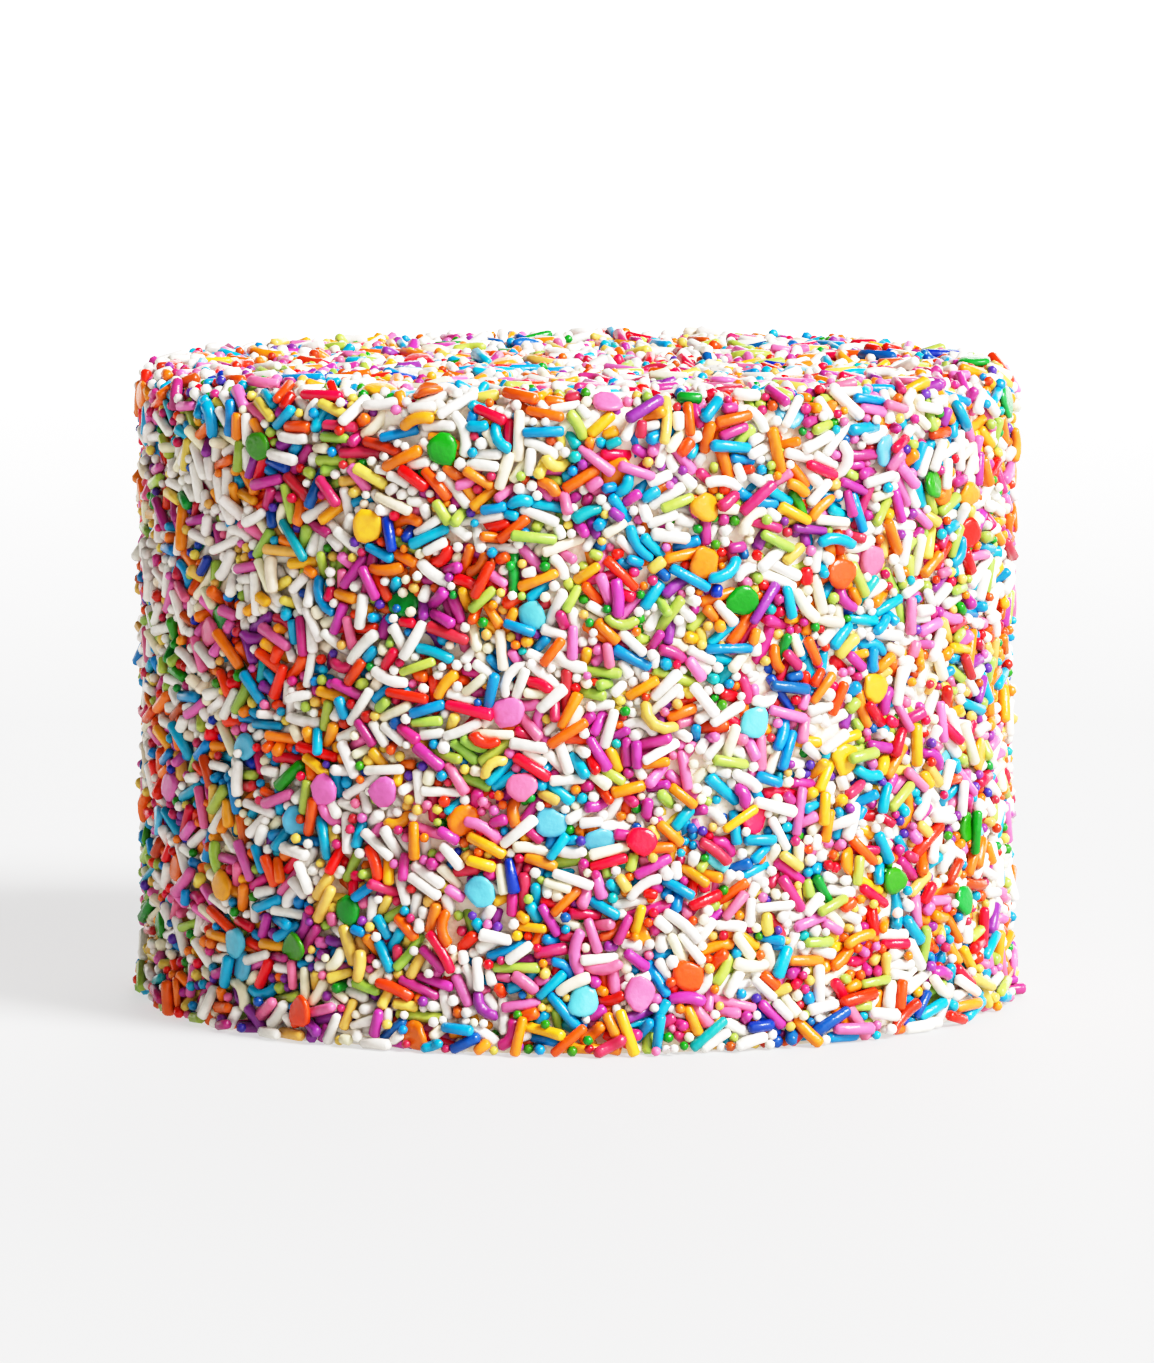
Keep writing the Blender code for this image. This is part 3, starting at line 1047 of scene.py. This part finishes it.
def icing_relief(points, outward):
    """How far the icing rises over its least depth at each point: more on the side where it is thicker."""
    smears = [
        noise.fractal(Vector(point) * SMEAR_SCALE, SMEAR_ROUGHNESS, SMEAR_LAYER_STEP, SMEAR_LAYERS)
        for point in points
    ]
    rich = np.clip(outward @ np.array(RICH_SIDE), 0, 1)
    return SMEAR_HEIGHT * np.array(smears) + RICH_RISE * rich


# The studio


def add_floor():
    """A level floor under the cake, which isn't part of it."""
    bpy.ops.mesh.primitive_plane_add(size=FLOOR_SIZE)
    floor = bpy.context.object
    floor.name = "floor"
    floor.data.materials.append(floor_material())
    floor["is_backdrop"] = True


def add_light(name, heading, height, width, strength):
    """A broad light from far away."""
    data = bpy.data.lights.new(name, "SUN")
    data.angle = math.radians(width)
    data.energy = strength
    light = bpy.data.objects.new(name, data)
    heading, height = math.radians(heading), math.radians(height)
    level = math.cos(height)
    towards = Vector((math.sin(heading) * level, -math.cos(heading) * level, math.sin(height)))
    light.rotation_euler = towards.to_track_quat("Z", "Y").to_euler()
    bpy.context.scene.collection.objects.link(light)


def add_world():
    """Dim light from above, and a bright band round the horizon, which is highest behind the cake."""
    world = bpy.data.worlds.new("studio")
    bpy.context.scene.world = world
    world.use_nodes = True
    nodes, links = world.node_tree.nodes, world.node_tree.links
    back = nodes["Background"]
    back.inputs["Color"].default_value = WORLD_COLOUR + (1.0,)
    way = nodes.new("ShaderNodeSeparateXYZ")
    links.new(nodes.new("ShaderNodeTexCoord").outputs["Generated"], way.inputs["Vector"])
    behind = worked_out(nodes, links, "MAXIMUM", way.outputs["Y"], 0.0)
    backdrop = worked_out(nodes, links, "MULTIPLY", behind, BACKDROP_RISE)
    height = worked_out(nodes, links, "SUBTRACT", way.outputs["Z"], backdrop)
    links.new(scaled(nodes, links, height, WORLD_GLOW_RISE, WORLD_GLOW), back.inputs["Strength"])


def add_camera():
    """A camera at the photo's angle, whose frame is this wide at the cake."""
    data = bpy.data.cameras.new("camera")
    camera = bpy.data.objects.new("camera", data)
    camera.location = CAMERA_PLACE
    way = Vector(CAMERA_AIM) - Vector(CAMERA_PLACE)
    camera.rotation_euler = way.to_track_quat("-Z", "Y").to_euler()
    frame_height = VIEW_WIDTH * PHOTO_HEIGHT / PHOTO_WIDTH
    data.lens = data.sensor_width * way.length / frame_height
    bpy.context.scene.collection.objects.link(camera)
    bpy.context.scene.camera = camera


def set_tones():
    """Eases the brightest tones, as the photo's do, so that white sugar isn't blank in full light."""
    settings = bpy.context.scene.view_settings
    settings.view_transform = "Standard"
    settings.use_curve_mapping = True
    brightest = TONES[-1][0]
    mapping = settings.curve_mapping
    mapping.use_clip = False
    mapping.extend = "HORIZONTAL"
    mapping.white_level = (brightest, brightest, brightest)
    points = mapping.curves[3].points
    points[0].location = TONES[0]
    points[1].location = (1.0, TONES[-1][1])
    for light, shown in TONES[1:-1]:
        points.new(light / brightest, shown)
    mapping.update()


def add_icing():
    """The icing, which with the coat stands for the solid cake."""
    icing = icing_piece()
    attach(icing, "root")
    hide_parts("cake")


def add_coat():
    """One piece for each kind and colour of sprinkle."""
    draw = np.random.default_rng(MESH_SEED)
    coat = solid_sprinkles().joined(loose_sprinkles()).joined(skirt_sprinkles())
    settle(coat)
    coat = showing(unjammed(coat))
    for kind, plural in ((ROD, "rods"), (BALL, "balls"), (DISC, "discs")):
        for number, (name, (colour, slot)) in enumerate(COLOURS.items()):
            rows = np.flatnonzero((coat.kind == kind) & (coat.colour == number))
            if len(rows):
                material = sugar_material(f"sugar_{plural}_{name}", colour)
                piece = joined_piece(f"{plural}_{name}", only(coat, rows), kind, material, draw)
                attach(piece, "root")


def write_sizes(solid_box, visual_box):
    """Gathers the lowest and highest corners of the solid and of what shows, without writing them anywhere.
    """
    boxes = {"solid": solid_box, "visual": visual_box}
    boxes = {name: [list(corner) for corner in box] for name, box in boxes.items()}


def main():
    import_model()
    solid_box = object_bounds()
    add_icing()
    add_coat()
    add_floor()
    for name, facts in LIGHTS.items():
        add_light(name, *facts)
    add_world()
    add_camera()
    set_tones()
    write_sizes(solid_box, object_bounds())


main()
